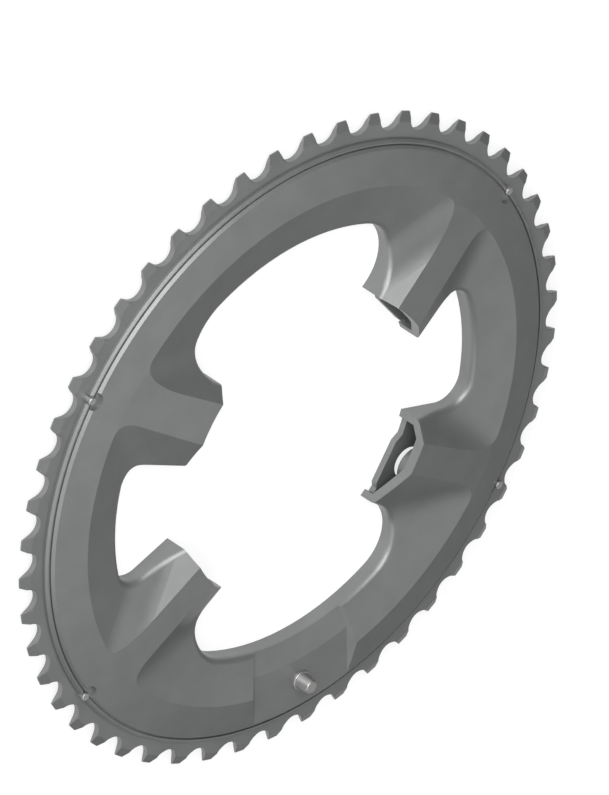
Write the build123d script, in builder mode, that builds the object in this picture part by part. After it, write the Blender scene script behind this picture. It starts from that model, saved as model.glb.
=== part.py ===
"""Outer chainring of a two-ring bicycle crank, for a crank with four arms of unequal spacing.

The ring lies flat on its rear face. The origin is on the ring's axis, in the rear plane. +Z is the
direction of the outer side, which faces away from the bicycle. The crank arm, when it is fitted,
points along -Y. The ring is symmetric about the YZ plane, apart from its teeth and its shift pins.
All sizes are in millimetres and all angles in degrees.
"""

from build123d import *
from math import atan2, cos, degrees, hypot, radians, sin, sqrt
import os

# Teeth, for a half inch chain
tooth_count = 50
chain_pitch = 12.7
seat_radius = 3.9
seat_half_angle = 76.0
first_seat_angle = 3.0
tip_rise = 1.274
tip_half_width = 1.6
tip_lean = 0.27
tooth_bevel_width = 1.2
tooth_bevel_depth = 0.7
tooth_bevel_shift = 1.4

# Toothed plate: a blade with the teeth, a step, and a flange with the four tabs
blade_rear = 2.0
blade_thickness = 1.8
crown_start_depth = 1.6
crown_front_drop = 1.2
relief_start_depth = 1.6
relief_depth = 0.2
flange_thickness = 2.0
front_step_radius = 88.2
rear_step_radius = 91.0
step_run = 2.4

# Bolt circle and tabs
bolt_circle_radius = 55.0
bolt_hole_radius = 4.9
lower_arm_angle = -35.0
upper_arm_angle = 35.0
arm_end_radius = 46.4
arm_end_circle_radius = 46.85
arm_end_circle_shift = 0.78
tab_set_back = 1.7
tab_nose_length = 1.9
tab_nose_tip = (-8.0, 5.0)
tab_nose_root = (-10.0, 8.0)
tab_nose_lap = 3.0
tab_nose_lip = 0.5
boss_bore_step = 0.4
boss_wall = 1.4
boss_end_height = 4.1

# Front cover, outside
rim_radius = 94.7
rim_seat_width = 4.2
rim_wall_top = 4.56
land_height = 5.2
land_radius = 94.0
groove_outer_radius = 93.55
groove_inner_radius = 93.0
groove_depth = 0.65
cone_edge_radius = 92.25
cone_edge_height = 6.02
crest_radius = 81.75
crest_height = 8.1
inner_cone_slope = 0.203
opening_radius = 68.1
opening_edge_radius = 2.0
pocket_blend = 16.0
pocket_inner_radius = 20.0
clear_margin = 8.0
end_overshoot = 4.0
end_margin = 1.9
form_inner_radius = 30.0
form_knee_radius = 44.0
wall_thickness = 2.2
ring_roof = 2.2
arm_roof = 3.2
fit_clearance = 0.1

# Arms. A flank has a half width at the open end, a flare and a fillet radius. A crease of the top facet
# has a place across the arm, its shift along the arm, and the fall of the sloped facet beside it.
arm_end_height = 11.6
lower_crank_flank = (13.3, 0.13, 13.0)
lower_away_flank = (15.1, 0.30, 7.5)
upper_crank_flank = (13.1, 0.22, 5.5)
upper_away_flank = (13.0, 0.06, 14.5)
lower_crank_crease = (-0.3, -0.03, 0.5)
lower_away_crease = (9.3, 0.0, 0.85)
upper_crank_crease = (-4.3, 0.03, 0.47)
upper_away_crease = (8.6, 0.0, 1.0)

# Recess for the crank arm, and the catch pin in it
recess_half_width = 17.8
recess_side_run = 1.06
recess_floor = 6.1
recess_bevel_radius = 75.8
recess_bevel_slope = 0.234
catch_pin_ring_radius = 83.6
catch_pin_height = 4.9
catch_pin_collar_radius = 3.15
catch_pin_collar_height = 0.8
catch_pin_root_radius = 2.7
catch_pin_tip_radius = 1.9
catch_pin_edge_radius = 0.5
catch_pin_collar_edge_radius = 0.35
catch_pin_shank_radius = 2.2
catch_pin_tail_radius = 3.0
catch_pin_tail_height = 0.9

# Shift pins, and the notches over their heads
shift_pin_angles = (30.4, 145.0, 210.4, 325.0)
shift_pin_ring_radius = 94.1
shift_pin_radius = 1.25
shift_pin_top = 6.0
shift_pin_shank_radius = 0.95
shift_pin_tail_radius = 1.9
shift_pin_tail_height = 1.1
shift_pin_tail_bevel = 0.4
shift_pin_top_bevel = 0.2
notch_ring_radius = 93.1
notch_radius = 2.75

# Worked out from the sizes above
tooth_angle = 360.0 / tooth_count
pitch_radius = chain_pitch / (2.0 * sin(radians(tooth_angle / 2.0)))
tip_radius = pitch_radius + tip_rise
clear_radius = tip_radius + clear_margin
blade_front = blade_rear + blade_thickness
seat_inner_radius = rim_radius - rim_seat_width
tab_end_radius = arm_end_radius + tab_set_back
flank_start_radius = arm_end_radius - end_overshoot
hollow_start_radius = flank_start_radius - end_overshoot
boss_bore_radius = bolt_hole_radius - boss_bore_step
arm_sides = (
    (lower_arm_angle, 1),
    (upper_arm_angle, 1),
    (180.0 - upper_arm_angle, -1),
    (180.0 - lower_arm_angle, -1),
)
arm_rise = (arm_end_height - crest_height) / (crest_radius - arm_end_radius)
outer_cone_slope = (crest_height - cone_edge_height) / (cone_edge_radius - crest_radius)
tooth_bevel_height = 2.0 * tooth_bevel_depth
sky = 20.0
below = 1.0

# Limits for telling faces and edges apart, by the upward part of a unit normal or of an edge's direction
upright_limit = 0.01
side_steep_limit = 0.2
side_level_limit = 0.98
edge_steep_limit = 0.9
edge_floor_limit = 0.5

arms = (
    (lower_arm_angle, lower_crank_flank, lower_away_flank),
    (upper_arm_angle, upper_crank_flank, upper_away_flank),
)


def polar(radius, angle):
    """Point at a radius and an angle about the ring's axis."""
    return (radius * cos(radians(angle)), radius * sin(radians(angle)))


def on_arm(arm_angle, along, across):
    """Point given along an arm's centre line and across it, away from the crank being positive."""
    a = radians(arm_angle)
    return (along * cos(a) - across * sin(a), along * sin(a) + across * cos(a))


def flank_across(flank, inset, along):
    """Distance from an arm's centre line to its flank, with the flank moved in by an inset."""
    half_width, flare, _ = flank
    return half_width + flare * (along - arm_end_radius) - inset * sqrt(1.0 + flare * flare)


def flank_points(arm_angle, side, flank, inset, end_radius):
    """Flank seen from the front: its end, the two ends of its fillet, and a point midway on the fillet."""
    half_width, flare, fillet_radius = flank
    stretch = sqrt(1.0 + flare * flare)
    centre_distance = opening_radius - fillet_radius
    rise = half_width - flare * arm_end_radius + fillet_radius * stretch
    root = (stretch * centre_distance) ** 2 - rise * rise
    along = (sqrt(root) - rise * flare) / (stretch * stretch)
    centre = (along, rise + flare * along)
    to_flank = (flare / stretch, -1.0 / stretch)
    to_opening = (centre[0] / centre_distance, centre[1] / centre_distance)
    middle = (to_flank[0] + to_opening[0], to_flank[1] + to_opening[1])
    length = hypot(*middle)
    to_middle = (middle[0] / length, middle[1] / length)
    reach = fillet_radius + inset
    points = [(end_radius, flank_across(flank, inset, end_radius))]
    points += [(centre[0] + reach * x, centre[1] + reach * y) for x, y in (to_flank, to_middle, to_opening)]
    return [on_arm(arm_angle, x, side * y) for x, y in points]


def ring_outline(inset, end_radius, outer_radius):
    """Front view of the ring and its arms, with every inner wall moved in by an inset."""
    right = []
    for arm_angle, crank_flank, away_flank in arms:
        right.append(flank_points(arm_angle, -1, crank_flank, inset, end_radius)[::-1])
        right.append(flank_points(arm_angle, 1, away_flank, inset, end_radius))
    left = [[(-x, y) for x, y in points][::-1] for points in right[::-1]]
    flanks = right + left
    with BuildSketch() as outline:
        Circle(outer_radius)
        with BuildSketch(mode=Mode.SUBTRACT):
            with BuildLine():
                for i, points in enumerate(flanks):
                    after = flanks[(i + 1) % len(flanks)]
                    if i % 2 == 0:
                        ThreePointArc(*points[:3])
                        Line(points[2], points[3])
                        Line(points[3], after[0])
                    else:
                        Line(points[0], points[1])
                        ThreePointArc(*points[1:])
                        start = degrees(atan2(points[3][1], points[3][0]))
                        sweep = (degrees(atan2(after[0][1], after[0][0])) - start) % 360.0
                        middle = polar(opening_radius + inset, start + sweep / 2.0)
                        ThreePointArc(points[3], middle, after[0])
            make_face()
    return outline.sketch


def facet_plane(arm_angle, across, height, toward, turn):
    """Plane through a point at the arm's open end, its normal given along and across the arm."""
    origin = on_arm(arm_angle, arm_end_radius, across)
    normal = on_arm(arm_angle, toward, turn)
    return Plane(origin=(*origin, height), z_dir=(*normal, 1.0))


def slope_plane(arm_angle, crease, side, drop):
    """Plane of the sloped facet on one side of an arm, which falls away from the crease."""
    across, run, fall = crease
    top = arm_end_height - drop
    return facet_plane(arm_angle, across, top, arm_rise - side * fall * run, side * fall)


def mirrored(plane):
    """The same plane on the other side of the ring."""
    x, y, z = plane.origin
    along, across, up = plane.z_dir
    return Plane(origin=(-x, y, z), z_dir=(-along, across, up))


def pocket(first, second, drop, blend):
    """Space over the inner cone between two arms, with a blend where it meets each arm."""
    low = crest_height - drop - inner_cone_slope * (crest_radius - pocket_inner_radius)
    high = crest_height - drop + inner_cone_slope * (clear_radius - crest_radius)
    with BuildPart() as space:
        with BuildSketch(Plane.XZ):
            with BuildLine():
                Polyline(
                    (pocket_inner_radius, low),
                    (clear_radius, high),
                    (clear_radius, sky),
                    (pocket_inner_radius, sky),
                    close=True,
                )
            make_face()
        revolve(axis=Axis.Z)
        split(bisect_by=first, keep=Keep.TOP)
        split(bisect_by=second, keep=Keep.TOP)
        if blend:
            floor = space.faces().filter_by(GeomType.CONE)
            sides = space.faces().filter_by(GeomType.PLANE).filter_by(
                lambda face: side_steep_limit < abs(face.normal_at().Z) < side_level_limit
            )
            valleys = [edge for edge in floor.edges() if any(edge.is_same(other) for other in sides.edges())]
            fillet(valleys, radius=blend)
    return space.part


def recess_cut(drop):
    """Space above the recess for the crank arm, its floor lowered by a drop."""
    floor = recess_floor - drop
    lip = floor - recess_bevel_slope * (recess_bevel_radius - tab_end_radius)
    bottom = recess_half_width - recess_side_run * (floor + below)
    top = recess_half_width + recess_side_run * (sky - floor)
    with BuildPart() as cut:
        with BuildSketch(Plane.XZ):
            with BuildLine():
                Polyline(
                    (tab_end_radius, lip),
                    (recess_bevel_radius, floor),
                    (clear_radius, floor),
                    (clear_radius, sky),
                    (tab_end_radius, sky),
                    close=True,
                )
            make_face()
        revolve(axis=Axis.Z)
        with BuildSketch(Plane.XZ):
            with BuildLine():
                Polyline(
                    (-bottom, -below),
                    (bottom, -below),
                    (top, sky),
                    (-top, sky),
                    close=True,
                )
            make_face()
        extrude(amount=clear_radius, mode=Mode.INTERSECT)
    return cut.part


def cover_body(inset, drop, arm_drop, end_radius, outer_radius, blend):
    """The cover's form, or the hollow in it when the walls are moved in and the roof is lowered."""
    low_crank = slope_plane(lower_arm_angle, lower_crank_crease, -1, arm_drop)
    low_away = slope_plane(lower_arm_angle, lower_away_crease, 1, arm_drop)
    up_crank = slope_plane(upper_arm_angle, upper_crank_crease, -1, arm_drop)
    up_away = slope_plane(upper_arm_angle, upper_away_crease, 1, arm_drop)
    knee_height = crest_height + outer_cone_slope * (crest_radius - form_knee_radius) - drop
    with BuildPart() as body:
        with BuildSketch(Plane.XZ):
            with BuildLine():
                Polyline(
                    (form_inner_radius, -below),
                    (rim_radius, -below),
                    (rim_radius, rim_wall_top - drop),
                    (land_radius, land_height - drop),
                    (groove_inner_radius, land_height - drop),
                    (cone_edge_radius, cone_edge_height - drop),
                    (form_knee_radius, knee_height),
                    (form_inner_radius, knee_height),
                    close=True,
                )
            make_face()
        revolve(axis=Axis.Z)
        with BuildSketch():
            add(ring_outline(inset, end_radius, outer_radius))
        extrude(amount=sky, mode=Mode.INTERSECT)
        for arm_angle in (lower_arm_angle, upper_arm_angle):
            top = facet_plane(arm_angle, 0.0, arm_end_height - arm_drop, arm_rise, 0.0)
            split(bisect_by=top, keep=Keep.BOTTOM)
            split(bisect_by=mirrored(top), keep=Keep.BOTTOM)
        add(pocket(low_away, up_crank, drop, blend), mode=Mode.SUBTRACT)
        add(pocket(mirrored(low_away), mirrored(up_crank), drop, blend), mode=Mode.SUBTRACT)
        add(pocket(up_away, mirrored(up_away), drop, blend), mode=Mode.SUBTRACT)
        add(pocket(low_crank, mirrored(low_crank), drop, blend), mode=Mode.SUBTRACT)
    return body.part


def flank_top_edges(body):
    """Top edges of the inner wall round the opening and along the flanks of the arms."""
    upright = body.faces().filter_by(lambda face: abs(face.normal_at().Z) < upright_limit)
    inside = upright.filter_by(lambda face: hypot(face.center().X, face.center().Y) < crest_radius)
    high = inside.edges().filter_by(lambda edge: edge.bounding_box().min.Z > edge_floor_limit)
    level = high.filter_by(lambda edge: abs(edge.tangent_at(0.5).Z) < edge_steep_limit)
    nearest = flank_start_radius + end_margin
    return level.filter_by(lambda edge: hypot(edge.center().X, edge.center().Y) > nearest)


os.makedirs("parts", exist_ok=True)

# Space between two teeth, with a bevel along its front edges that runs out at its foot
seat_rise = seat_radius * sin(radians(seat_half_angle))
seat_end_radius = pitch_radius - seat_radius * cos(radians(seat_half_angle))
tip_half = degrees(tip_half_width / tip_radius)
lean = degrees(tip_lean / tip_radius)
after = polar(tip_radius, tooth_angle / 2.0 - lean - tip_half)
before = polar(tip_radius, -tooth_angle / 2.0 - lean + tip_half)
with BuildPart() as gap:
    with BuildSketch(Plane.XY.offset(-below)) as gap_outline:
        with BuildLine():
            ThreePointArc(
                (seat_end_radius, -seat_rise),
                (pitch_radius - seat_radius, 0.0),
                (seat_end_radius, seat_rise),
            )
            Polyline(
                (seat_end_radius, seat_rise),
                after,
                (clear_radius, after[1]),
                (clear_radius, before[1]),
                before,
                (seat_end_radius, -seat_rise),
            )
        make_face()
    extrude(amount=sky)
    with BuildSketch(Plane.XY.offset(blade_front - tooth_bevel_depth)):
        with Locations((tooth_bevel_shift, 0)):
            add(gap_outline.sketch)
    extrude(amount=tooth_bevel_height, taper=-degrees(atan2(tooth_bevel_width, tooth_bevel_depth)))
gaps = [gap.part.rotate(Axis.Z, first_seat_angle + i * tooth_angle) for i in range(tooth_count)]

# Toothed plate
with BuildPart() as toothed_plate:
    with BuildSketch(Plane.XZ):
        with BuildLine():
            Polyline(
                (form_knee_radius, 0.0),
                (rear_step_radius - step_run, 0.0),
                (rear_step_radius, blade_rear),
                (pitch_radius - relief_start_depth, blade_rear),
                (tip_radius, blade_rear + relief_depth),
                (tip_radius, blade_front - crown_front_drop),
                (pitch_radius - crown_start_depth, blade_front),
                (front_step_radius, blade_front),
                (front_step_radius - step_run, flange_thickness),
                (form_knee_radius, flange_thickness),
                close=True,
            )
        make_face()
    revolve(axis=Axis.Z)
    with BuildSketch() as plate_outline:
        add(ring_outline(wall_thickness + fit_clearance, hollow_start_radius, clear_radius))
        Circle(tab_end_radius, mode=Mode.SUBTRACT)
        for arm_angle, side in arm_sides:
            with BuildLine():
                Polyline(
                    on_arm(arm_angle, tab_end_radius + tab_nose_lap, side * tab_nose_root[0]),
                    on_arm(arm_angle, tab_end_radius - tab_nose_lip, side * tab_nose_root[0]),
                    on_arm(arm_angle, tab_end_radius - tab_nose_length, side * tab_nose_tip[0]),
                    on_arm(arm_angle, tab_end_radius - tab_nose_length, side * tab_nose_tip[1]),
                    on_arm(arm_angle, tab_end_radius - tab_nose_lip, side * tab_nose_root[1]),
                    on_arm(arm_angle, tab_end_radius + tab_nose_lap, side * tab_nose_root[1]),
                    close=True,
                )
            make_face()
    extrude(amount=sky, mode=Mode.INTERSECT)
    with BuildSketch():
        for arm_angle, _ in arm_sides:
            with Locations(polar(bolt_circle_radius, arm_angle)):
                Circle(bolt_hole_radius)
    extrude(amount=flange_thickness, mode=Mode.SUBTRACT)
    with BuildSketch():
        for angle in shift_pin_angles:
            with Locations(polar(shift_pin_ring_radius, angle)):
                Circle(shift_pin_shank_radius + fit_clearance / 2.0)
    extrude(amount=blade_front, mode=Mode.SUBTRACT)
    add(gaps, mode=Mode.SUBTRACT)

# Hollow of the cover, which leaves a threaded boss over each bolt hole of the plate
with BuildPart() as hollow:
    add(cover_body(wall_thickness, ring_roof, arm_roof, hollow_start_radius, seat_inner_radius, 0.0))
    add(recess_cut(ring_roof), mode=Mode.SUBTRACT)
    with BuildSketch():
        add(ring_outline(wall_thickness, hollow_start_radius, seat_inner_radius))
    extrude(amount=flange_thickness + fit_clearance)
    with BuildSketch(Plane.XY.offset(boss_end_height)):
        for arm_angle, _ in arm_sides:
            with Locations(polar(bolt_circle_radius, arm_angle)):
                Circle(boss_bore_radius + boss_wall)
                Circle(boss_bore_radius, mode=Mode.SUBTRACT)
    extrude(amount=sky, mode=Mode.SUBTRACT)

# Front cover: a shell with a roof, an inner wall and four hollow arms that are open at their ends
with BuildPart() as front_cover:
    add(cover_body(0.0, 0.0, 0.0, flank_start_radius, rim_radius, pocket_blend))
    fillet(flank_top_edges(front_cover.part), radius=opening_edge_radius)
    add(recess_cut(0.0), mode=Mode.SUBTRACT)
    add(hollow.part, mode=Mode.SUBTRACT)
    with BuildSketch(Plane.XZ):
        with BuildLine():
            Polyline(
                (front_step_radius, -below),
                (clear_radius, -below),
                (clear_radius, blade_front),
                (front_step_radius, blade_front),
                close=True,
            )
        make_face()
    revolve(axis=Axis.Z, mode=Mode.SUBTRACT)
    with BuildSketch():
        with Locations((0, arm_end_circle_shift)):
            Circle(arm_end_circle_radius)
    extrude(amount=sky, mode=Mode.SUBTRACT)
    with BuildSketch(Plane.XY.offset(land_height - groove_depth)):
        Circle(groove_outer_radius)
        Circle(groove_inner_radius, mode=Mode.SUBTRACT)
    extrude(amount=groove_depth + below, mode=Mode.SUBTRACT)
    with BuildSketch(Plane.XY.offset(land_height)):
        for angle in shift_pin_angles:
            with Locations(polar(notch_ring_radius, angle)):
                Circle(notch_radius)
    extrude(amount=sky, mode=Mode.SUBTRACT)
    with BuildSketch(Plane.XY.offset(blade_front)):
        for angle in shift_pin_angles:
            with Locations(polar(shift_pin_ring_radius, angle)):
                Circle(shift_pin_radius + fit_clearance)
    extrude(amount=sky, mode=Mode.SUBTRACT)
    with BuildSketch():
        with Locations((0, -catch_pin_ring_radius)):
            Circle(catch_pin_shank_radius + fit_clearance / 2.0)
    extrude(amount=sky, mode=Mode.SUBTRACT)

# Catch pin, riveted through the floor of the recess
floor_under = recess_floor - ring_roof
collar_top = recess_floor + catch_pin_collar_height
pin_top = recess_floor + catch_pin_height
with BuildPart() as catch_pin:
    with BuildSketch(Plane((0, -catch_pin_ring_radius, 0), x_dir=(1, 0, 0), z_dir=(0, -1, 0))) as pin_half:
        with BuildLine():
            Polyline(
                (0.0, floor_under - catch_pin_tail_height),
                (catch_pin_tail_radius, floor_under - catch_pin_tail_height),
                (catch_pin_tail_radius, floor_under),
                (catch_pin_shank_radius, floor_under),
                (catch_pin_shank_radius, recess_floor),
                (catch_pin_collar_radius, recess_floor),
                (catch_pin_collar_radius, collar_top),
                (catch_pin_root_radius, collar_top),
                (catch_pin_tip_radius, pin_top),
                (0.0, pin_top),
                close=True,
            )
        make_face()
        tip_corner = pin_half.vertices().sort_by_distance((catch_pin_tip_radius, pin_top))[0]
        fillet(tip_corner, radius=catch_pin_edge_radius)
        collar_corner = pin_half.vertices().sort_by_distance((catch_pin_collar_radius, collar_top))[0]
        fillet(collar_corner, radius=catch_pin_collar_edge_radius)
    revolve(axis=Axis((0, -catch_pin_ring_radius, 0), (0, 0, 1)))

toothed_plate.part.label = "toothed_plate"
export_step(toothed_plate.part, "parts/toothed_plate.step")
front_cover.part.label = "front_cover"
export_step(front_cover.part, "parts/front_cover.step")
catch_pin.part.label = "catch_pin"
export_step(catch_pin.part, "parts/catch_pin.step")

# Shift pins, riveted through the blade
tail_end = blade_rear - shift_pin_tail_height
for number, angle in enumerate(shift_pin_angles, start=1):
    x, y = polar(shift_pin_ring_radius, angle)
    with BuildPart() as shift_pin:
        with BuildSketch(Plane((x, y, 0), x_dir=(1, 0, 0), z_dir=(0, -1, 0))):
            with BuildLine():
                Polyline(
                    (0.0, tail_end),
                    (shift_pin_tail_radius - shift_pin_tail_bevel, tail_end),
                    (shift_pin_tail_radius, tail_end + shift_pin_tail_bevel),
                    (shift_pin_tail_radius, blade_rear),
                    (shift_pin_shank_radius, blade_rear),
                    (shift_pin_shank_radius, blade_front),
                    (shift_pin_radius, blade_front),
                    (shift_pin_radius, shift_pin_top - shift_pin_top_bevel),
                    (shift_pin_radius - shift_pin_top_bevel, shift_pin_top),
                    (0.0, shift_pin_top),
                    close=True,
                )
            make_face()
        revolve(axis=Axis((x, y, 0), (0, 0, 1)))
    shift_pin.part.label = f"shift_pin_{number}"
    export_step(shift_pin.part, f"parts/shift_pin_{number}.step")
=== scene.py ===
"""Studio scene of a bicycle chainring that lies on its rear face on a white table.

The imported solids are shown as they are. This file gives each of them the finish of the real metal, and
adds the table, the lamps and the camera. Lengths in names that end in _mm are in millimetres, all other
lengths are in metres, and angles are in degrees.
"""

import logging
import math
from abc import ABC, abstractmethod
from collections.abc import Sequence
from dataclasses import dataclass, field, replace
from enum import Enum
from typing import Any

import bpy
from mathutils import Matrix, Vector


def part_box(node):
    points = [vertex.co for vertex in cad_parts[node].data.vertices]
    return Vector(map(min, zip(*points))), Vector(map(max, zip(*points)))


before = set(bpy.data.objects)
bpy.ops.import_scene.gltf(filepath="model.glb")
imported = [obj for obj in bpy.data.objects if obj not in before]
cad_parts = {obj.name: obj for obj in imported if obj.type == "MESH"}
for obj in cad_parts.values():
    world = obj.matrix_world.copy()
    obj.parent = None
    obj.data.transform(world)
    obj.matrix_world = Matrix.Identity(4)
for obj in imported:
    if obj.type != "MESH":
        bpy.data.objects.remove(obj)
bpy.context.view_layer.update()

MM = 0.001
SHIFT_PIN_COUNT = 4
LOG = logging.getLogger("chainring")

# The sRGB curve is a straight line up to a limit, and a shifted power above it.
BYTE_MAX = 255.0
SRGB_LIMIT = 0.04045
SRGB_SLOPE = 12.92
SRGB_SHIFT = 0.055
SRGB_POWER = 2.4

# A wave texture of scale 1 runs through this many radians in one unit of its coordinates.
WAVE_RADIANS = 20.0


def linear_colour(code: str) -> tuple[float, float, float, float]:
    """Turns an sRGB hex value into a linear colour.

    Args:
        code: The colour as "#rrggbb".

    Returns:
        Linear red, green and blue, and an alpha of 1.
    """
    shares = [value / BYTE_MAX for value in bytes.fromhex(code.lstrip("#"))]
    red, green, blue = (
        share / SRGB_SLOPE
        if share <= SRGB_LIMIT
        else ((share + SRGB_SHIFT) / (1.0 + SRGB_SHIFT)) ** SRGB_POWER
        for share in shares
    )
    return (red, green, blue, 1.0)


def add_node(
    tree: bpy.types.NodeTree,
    kind: str,
    values: dict[Any, Any] | None = None,
    links: dict[Any, bpy.types.NodeSocket] | None = None,
    **settings: Any,
) -> bpy.types.Node:
    """Adds a node with its settings, values and links.

    Args:
        tree: The node tree of a material or world.
        kind: The node's type.
        values: Numbers and colours by the name or place of an input.
        links: The sockets that feed an input, by the input's name or place.
        **settings: The node's own properties.

    Returns:
        The new node.
    """
    node = tree.nodes.new(kind)
    for name, value in settings.items():
        setattr(node, name, value)
    for key, value in (values or {}).items():
        node.inputs[key].default_value = value
    for key, socket in (links or {}).items():
        tree.links.new(socket, node.inputs[key])
    return node


def aim(position: Vector, target: Vector, roll: float = 0.0) -> Matrix:
    """Works out the place and turn of a lamp or camera.

    Args:
        position: Where it stands.
        target: What it looks at.
        roll: How far it is turned about its own line of sight.

    Returns:
        The world matrix.
    """
    turn = (target - position).to_track_quat("-Z", "Y").to_matrix().to_4x4()
    return Matrix.Translation(position) @ turn @ Matrix.Rotation(math.radians(roll), 4, "Z")


def direction(azimuth: float, elevation: float) -> Vector:
    """Gives the unit vector towards a place in the room. Azimuth 0 is towards -Y and 90 towards +X."""
    a, e = math.radians(azimuth), math.radians(elevation)
    return Vector((math.sin(a) * math.cos(e), -math.cos(a) * math.cos(e), math.sin(e)))


class Make(Enum):
    """How a metal surface was made."""

    BLASTED = "bead blasted"
    TURNED = "turned on a lathe"


@dataclass(frozen=True)
class MetalFinish:
    """A metal surface with its grain, its cloudy tone and its gloss.

    Attributes:
        name: Name of the material.
        dark: Hex colour of the darker clouds.
        light: Hex colour of the lighter clouds.
        make: How the surface was made.
        metallic: Share of bare metal in what the eye sees, the rest being the oxide on it.
        roughness: Lowest and highest roughness.
        grain_mm: Size of a grain, or distance between two turning marks.
        depth_mm: Depth of the grain or of the turning marks.
        cloud_mm: Size of the clouds in the tone.
        axis_mm: X and Y of the axis that the turning marks run round.
        cloud_detail: Number of finer layers of clouds over the coarse one.
        cloud_spread: Strength of the finer layers of clouds.
        cloud_range: Heights of the cloud pattern at which the dark and the light tone are reached.
        grain_detail: Number of finer layers of grain, or of waver in the turning marks.
        grain_spread: Strength of the finer layers of grain.
        ring_waver: How far a turning mark wavers from its circle.
    """

    name: str
    dark: str
    light: str
    make: Make
    metallic: float
    roughness: tuple[float, float]
    grain_mm: float
    depth_mm: float
    cloud_mm: float
    axis_mm: tuple[float, float] = (0.0, 0.0)
    cloud_detail: float = 3.0
    cloud_spread: float = 0.55
    cloud_range: tuple[float, float] = (0.3, 0.7)
    grain_detail: float = 2.0
    grain_spread: float = 0.6
    ring_waver: float = 0.4

    def build(self) -> bpy.types.Material:
        """Builds the material.

        Returns:
            A node based material on Object coordinates.
        """
        material = bpy.data.materials.new(self.name)
        material.use_nodes = True
        tree = material.node_tree
        tree.nodes.clear()
        place = self.add_place(tree)
        marks = self.add_marks(tree, place)
        low, high = self.roughness
        gloss = add_node(
            tree, "ShaderNodeMapRange", {"To Min": low, "To Max": high}, {"Value": marks}
        )
        bump = add_node(
            tree,
            "ShaderNodeBump",
            {"Strength": 1.0, "Distance": self.depth_mm * MM},
            {"Height": marks},
        )
        metal = add_node(
            tree,
            "ShaderNodeBsdfPrincipled",
            {"Metallic": self.metallic},
            {
                "Base Color": self.add_tone(tree, place),
                "Roughness": gloss.outputs["Result"],
                "Normal": bump.outputs["Normal"],
            },
        )
        add_node(tree, "ShaderNodeOutputMaterial", None, {"Surface": metal.outputs["BSDF"]})
        return material

    def add_place(self, tree: bpy.types.NodeTree) -> bpy.types.NodeSocket:
        """Adds the coordinates that the patterns lie on.

        Args:
            tree: The material's node tree.

        Returns:
            The socket that gives the place in millimetres from the axis.
        """
        per_mm = 1.0 / MM
        axis_x, axis_y = self.axis_mm
        place = add_node(tree, "ShaderNodeTexCoord")
        centred = add_node(
            tree,
            "ShaderNodeMapping",
            {"Location": (-axis_x, -axis_y, 0.0), "Scale": (per_mm, per_mm, per_mm)},
            {"Vector": place.outputs["Object"]},
        )
        return centred.outputs["Vector"]

    def add_tone(
        self, tree: bpy.types.NodeTree, place: bpy.types.NodeSocket
    ) -> bpy.types.NodeSocket:
        """Adds the clouds between the dark and the light tone.

        Args:
            tree: The material's node tree.
            place: Coordinates in millimetres.

        Returns:
            The socket that gives the colour.
        """
        clouds = add_node(
            tree,
            "ShaderNodeTexNoise",
            {
                "Scale": 1.0 / self.cloud_mm,
                "Detail": self.cloud_detail,
                "Roughness": self.cloud_spread,
            },
            {"Vector": place},
        )
        tone = add_node(tree, "ShaderNodeValToRGB", None, {"Fac": clouds.outputs["Fac"]})
        ends = zip(tone.color_ramp.elements, self.cloud_range, (self.dark, self.light))
        for end, height, code in ends:
            end.position = height
            end.color = linear_colour(code)
        return tone.outputs["Color"]

    def add_marks(
        self, tree: bpy.types.NodeTree, place: bpy.types.NodeSocket
    ) -> bpy.types.NodeSocket:
        """Adds the pattern of the grain or of the turning marks.

        Args:
            tree: The material's node tree.
            place: Coordinates in millimetres.

        Returns:
            The socket that gives the pattern's height, from 0 to 1.
        """
        if self.make is Make.BLASTED:
            grain = add_node(
                tree,
                "ShaderNodeTexNoise",
                {
                    "Scale": 1.0 / self.grain_mm,
                    "Detail": self.grain_detail,
                    "Roughness": self.grain_spread,
                },
                {"Vector": place},
            )
            return grain.outputs["Fac"]
        rings = add_node(
            tree,
            "ShaderNodeTexWave",
            {
                "Scale": 2.0 * math.pi / WAVE_RADIANS / self.grain_mm,
                "Distortion": self.ring_waver,
                "Detail": self.grain_detail,
            },
            {"Vector": place},
            wave_type="RINGS",
            rings_direction="Z",
        )
        return rings.outputs["Fac"]


# Anodised aluminium, bead blasted first: an even satin grey whose grain only softens the highlights. The
# real grain of 0.1 mm is too fine to show, so it is drawn at 0.35 mm.
COVER_FINISH = MetalFinish(
    name="anodised_aluminium_blasted",
    dark="#7b7c7c",
    light="#818282",
    make=Make.BLASTED,
    metallic=0.6,
    roughness=(0.40, 0.48),
    grain_mm=0.35,
    depth_mm=0.004,
    cloud_mm=9.0,
)
# Anodised aluminium, turned first: fine rings round the axis draw the light out along the radius. The
# real feed of 0.15 mm is too fine to show, so the rings are drawn 0.5 mm apart.
PLATE_FINISH = MetalFinish(
    name="anodised_aluminium_turned",
    dark="#7a7b7b",
    light="#828383",
    make=Make.TURNED,
    metallic=0.6,
    roughness=(0.38, 0.46),
    grain_mm=0.5,
    depth_mm=0.004,
    cloud_mm=12.0,
)
# Stainless steel, turned: brighter than the aluminium, with rings round each pin's own axis.
PIN_FINISH = MetalFinish(
    name="steel_turned",
    dark="#a2a2a1",
    light="#adadac",
    make=Make.TURNED,
    metallic=0.85,
    roughness=(0.36, 0.42),
    grain_mm=0.25,
    depth_mm=0.003,
    cloud_mm=3.0,
)


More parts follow.
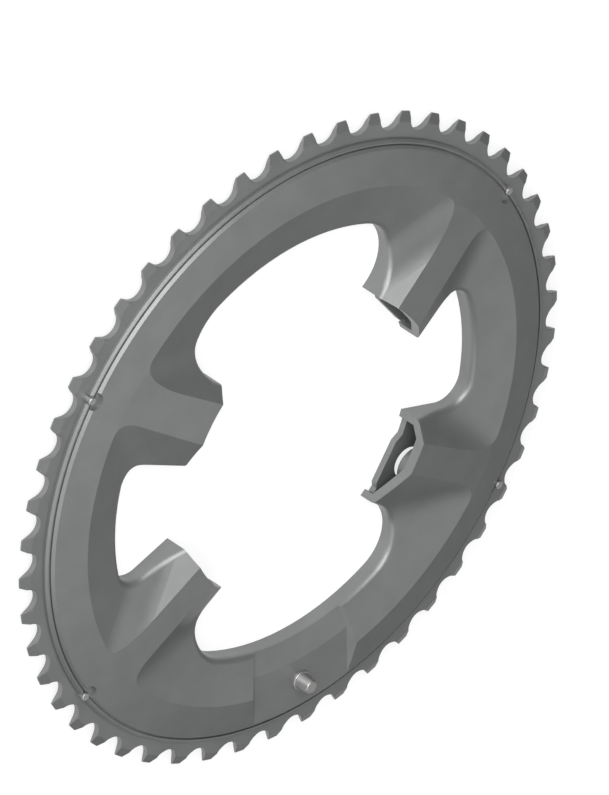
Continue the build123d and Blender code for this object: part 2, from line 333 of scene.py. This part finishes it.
@dataclass
class DressedPart(ABC):
    """A part of the chainring whose solids are shown as they are.

    Attributes:
        nodes: Names of its solids.
        slot: Name of the record's material slot for the part; not used.
    """

    nodes: tuple[str, ...]
    slot: str

    @abstractmethod
    def finish_of(self, node: str) -> MetalFinish:
        """Gives the finish of one solid."""

    def dress(self) -> None:
        """Gives each solid its finish."""
        for node in self.nodes:
            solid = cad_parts[node]
            material = self.finish_of(node).build()
            solid.data.materials.clear()
            solid.data.materials.append(material)
            LOG.info("%s is %s", node, material.name)


@dataclass
class ToothedPlate(DressedPart):
    """The plate with the teeth, the step and the flange."""

    nodes: tuple[str, ...] = ("toothed_plate",)
    slot: str = "plate_metal"

    def finish_of(self, node: str) -> MetalFinish:
        """Gives the turned aluminium."""
        return PLATE_FINISH


@dataclass
class FrontCover(DressedPart):
    """The bevelled shell with its four hollow arms."""

    nodes: tuple[str, ...] = ("front_cover",)
    slot: str = "cover_metal"

    def finish_of(self, node: str) -> MetalFinish:
        """Gives the blasted aluminium."""
        return COVER_FINISH


@dataclass
class SteelPins(DressedPart):
    """The catch pin and the shift pins."""

    nodes: tuple[str, ...] = (
        "catch_pin",
        *(f"shift_pin_{number + 1}" for number in range(SHIFT_PIN_COUNT)),
    )
    slot: str = "pin_steel"

    def finish_of(self, node: str) -> MetalFinish:
        """Gives turned steel with its rings round the pin's own axis.

        Args:
            node: The pin's name.

        Returns:
            The pin's finish.
        """
        low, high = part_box(node)
        middle = (low + high) / 2.0 / MM
        return replace(
            PIN_FINISH, name=f"{PIN_FINISH.name}_{node}", axis_mm=(middle.x, middle.y)
        )


@dataclass(frozen=True)
class Softbox:
    """A large square lamp that shines on the chainring.

    Attributes:
        name: Name of the lamp.
        azimuth: Direction round the ring, from -Y towards +X.
        elevation: Height above the table, as an angle.
        watts: Power.
        distance: Distance from the ring's centre.
        size: Length of a side.
    """

    name: str
    azimuth: float
    elevation: float
    watts: float
    distance: float = 1.1
    size: float = 1.0

    def build(self, centre: Vector) -> None:
        """Hangs the lamp.

        Args:
            centre: What the lamp points at.
        """
        data = bpy.data.lights.new(self.name, "AREA")
        data.size = self.size
        data.energy = self.watts
        lamp = bpy.data.objects.new(self.name, data)
        position = centre + self.distance * direction(self.azimuth, self.elevation)
        lamp.matrix_world = aim(position, centre)
        bpy.context.scene.collection.objects.link(lamp)


@dataclass(frozen=True)
class LongLensCamera:
    """The camera, far off and with a long lens, so that the ring shows almost without perspective.

    Attributes:
        azimuth: Direction round the ring, from -Y towards +X.
        elevation: Height above the table, as an angle.
        roll: How far the camera is turned about its own line of sight.
        target_mm: The point that it looks at.
        distance: Distance from that point.
        lens_mm: Focal length.
        nearest: Distance from which the camera sees.
        farthest: Distance up to which the camera sees.
    """

    azimuth: float = 221.921
    elevation: float = 36.49
    roll: float = 123.068
    target_mm: tuple[float, float, float] = (7.53, 9.464, 0.344)
    distance: float = 7.1563
    lens_mm: float = 1150.0
    nearest: float = 0.1
    farthest: float = 40.0

    def build(self) -> None:
        """Places the camera and makes it the scene's own."""
        data = bpy.data.cameras.new("long_lens")
        data.lens = self.lens_mm
        data.clip_start = self.nearest
        data.clip_end = self.farthest
        camera = bpy.data.objects.new("long_lens", data)
        target = Vector(self.target_mm) * MM
        position = target + self.distance * direction(self.azimuth, self.elevation)
        camera.matrix_world = aim(position, target, self.roll)
        bpy.context.scene.collection.objects.link(camera)
        bpy.context.scene.camera = camera
        LOG.info("%s looks at the ring", camera.name)


@dataclass
class Studio:
    """The white table, the room and its lamps.

    Attributes:
        table_size: Length of a side of the table.
        table_colour: Hex colour of the table where it throws light on to the ring.
        seen_colour: Hex colour that the lamps light where the table is seen, under its own white.
        seen_white: Strength of the white that is added where the table is seen.
        room_colour: Hex colour of the light from all round.
        room_strength: Strength of the light from all round.
        centre: The ring's centre on the table, which the lamps point at.
        lamps: The lamps round the ring.
    """

    table_size: float = 6.0
    table_colour: str = "#d8d8d8"
    seen_colour: str = "#8c8c8c"
    seen_white: float = 0.78
    room_colour: str = "#ffffff"
    room_strength: float = 0.18
    centre: Vector = field(default_factory=lambda: Vector((0.0, 0.0, 0.0)))
    lamps: Sequence[Softbox] = (
        Softbox(name="camera_side_softbox", azimuth=215.0, elevation=30.0, watts=18.0),
        Softbox(name="left_softbox", azimuth=285.0, elevation=32.0, watts=4.5),
        Softbox(name="far_side_softbox", azimuth=35.0, elevation=60.0, watts=2.2),
    )

    def build(self) -> None:
        """Sets up the table, the room and the lamps."""
        self.add_table()
        self.add_room()
        for lamp in self.lamps:
            lamp.build(self.centre)
            LOG.info("%s is hung", lamp.name)
        bpy.context.scene.view_settings.view_transform = "Standard"

    def add_table(self) -> None:
        """Adds the table's top, which is seen white and keeps the ring's shadow."""
        bpy.ops.object.select_all(action="DESELECT")
        bpy.ops.mesh.primitive_plane_add(size=self.table_size, location=self.centre)
        table = bpy.context.object
        table.name = "table"
        table.data.materials.append(self.table_material())
        LOG.info("%s is laid", table.name)

    def table_material(self) -> bpy.types.Material:
        """Builds the table's material.

        Returns:
            A matt pale surface that is raised to white where it is seen.
        """
        material = bpy.data.materials.new("matt_white_table")
        material.use_nodes = True
        tree = material.node_tree
        tree.nodes.clear()
        matt = add_node(tree, "ShaderNodeBsdfDiffuse", {"Color": linear_colour(self.table_colour)})
        shaded = add_node(tree, "ShaderNodeBsdfDiffuse", {"Color": linear_colour(self.seen_colour)})
        white = add_node(tree, "ShaderNodeEmission", {"Strength": self.seen_white})
        shown = add_node(
            tree,
            "ShaderNodeAddShader",
            None,
            {0: shaded.outputs["BSDF"], 1: white.outputs["Emission"]},
        )
        table = add_node(
            tree,
            "ShaderNodeMixShader",
            None,
            {"Fac": self.add_seen(tree), 1: matt.outputs["BSDF"], 2: shown.outputs["Shader"]},
        )
        add_node(tree, "ShaderNodeOutputMaterial", None, {"Surface": table.outputs["Shader"]})
        return material

    def add_seen(self, tree: bpy.types.NodeTree) -> bpy.types.NodeSocket:
        """Adds the test of whether a ray sees the table, straight, in a reflection or through glass.

        Args:
            tree: The material's node tree.

        Returns:
            The socket that is 1 for camera, glossy and transmission rays and 0 for others.
        """
        ray = add_node(tree, "ShaderNodeLightPath")
        total = ray.outputs["Is Camera Ray"]
        for name in ("Is Glossy Ray", "Is Transmission Ray"):
            either = add_node(
                tree,
                "ShaderNodeMath",
                None,
                {0: total, 1: ray.outputs[name]},
                operation="ADD",
                use_clamp=True,
            )
            total = either.outputs["Value"]
        return total

    def add_room(self) -> None:
        """Adds the even grey light from all round."""
        world = bpy.data.worlds.new("studio_room")
        world.use_nodes = True
        tree = world.node_tree
        tree.nodes.clear()
        room = add_node(
            tree,
            "ShaderNodeBackground",
            {"Color": linear_colour(self.room_colour), "Strength": self.room_strength},
        )
        add_node(tree, "ShaderNodeOutputWorld", None, {"Surface": room.outputs["Background"]})
        bpy.context.scene.world = world


def main() -> None:
    """Builds the camera, the dressed parts and the studio in order."""
    logging.basicConfig(level=logging.INFO, format="%(name)s: %(message)s")
    LongLensCamera().build()
    for part in (ToothedPlate(), FrontCover(), SteelPins()):
        part.dress()
    Studio().build()


if __name__ == "__main__":
    main()
